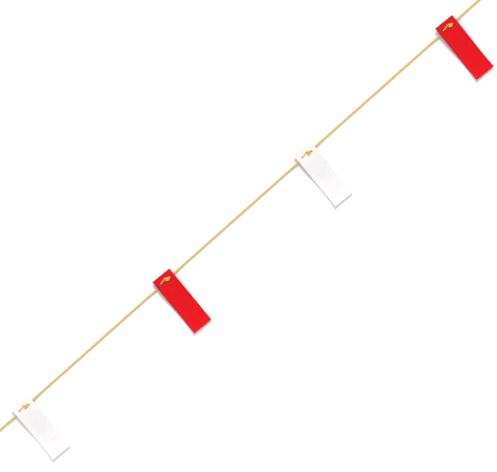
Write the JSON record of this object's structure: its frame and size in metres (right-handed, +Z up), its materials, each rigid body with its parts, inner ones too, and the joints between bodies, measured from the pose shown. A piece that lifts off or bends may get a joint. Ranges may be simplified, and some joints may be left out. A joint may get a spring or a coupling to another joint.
{
  "type": "flag bunting",
  "caption": "String of small oblong felt flags, white and red in turn, each tied by a knotted gold thread to a straight twisted gold cord with a stopper knot at each end.",
  "frame": {"origin": "on the surface that the string lies on, under the middle of the box round the four flags", "axes": "+X along the cord, from the end with the first white flag to the end with the last red one; +Y from the flags' lower ends to their tied ends; +Z up from the surface"},
  "size_m": [1.5718, 0.152, 0.0147],
  "materials": {
    "gold_cord": "twisted three-strand cord, satin sheen",
    "gold_thread": "twisted thread, satin sheen",
    "white_felt": "pressed felt, matt, cut edges",
    "red_felt": "pressed felt, matt, cut edges"
  },
  "bodies": {
    "root": {"cord": "gold_cord", "end_knot_left": "gold_cord", "end_knot_right": "gold_cord", "tie_1": "gold_thread", "tie_2": "gold_thread", "tie_3": "gold_thread", "tie_4": "gold_thread", "flag_1_white": "white_felt", "flag_2_red": "red_felt", "flag_3_white": "white_felt", "flag_4_red": "red_felt"}
  },
  "joints": []
}
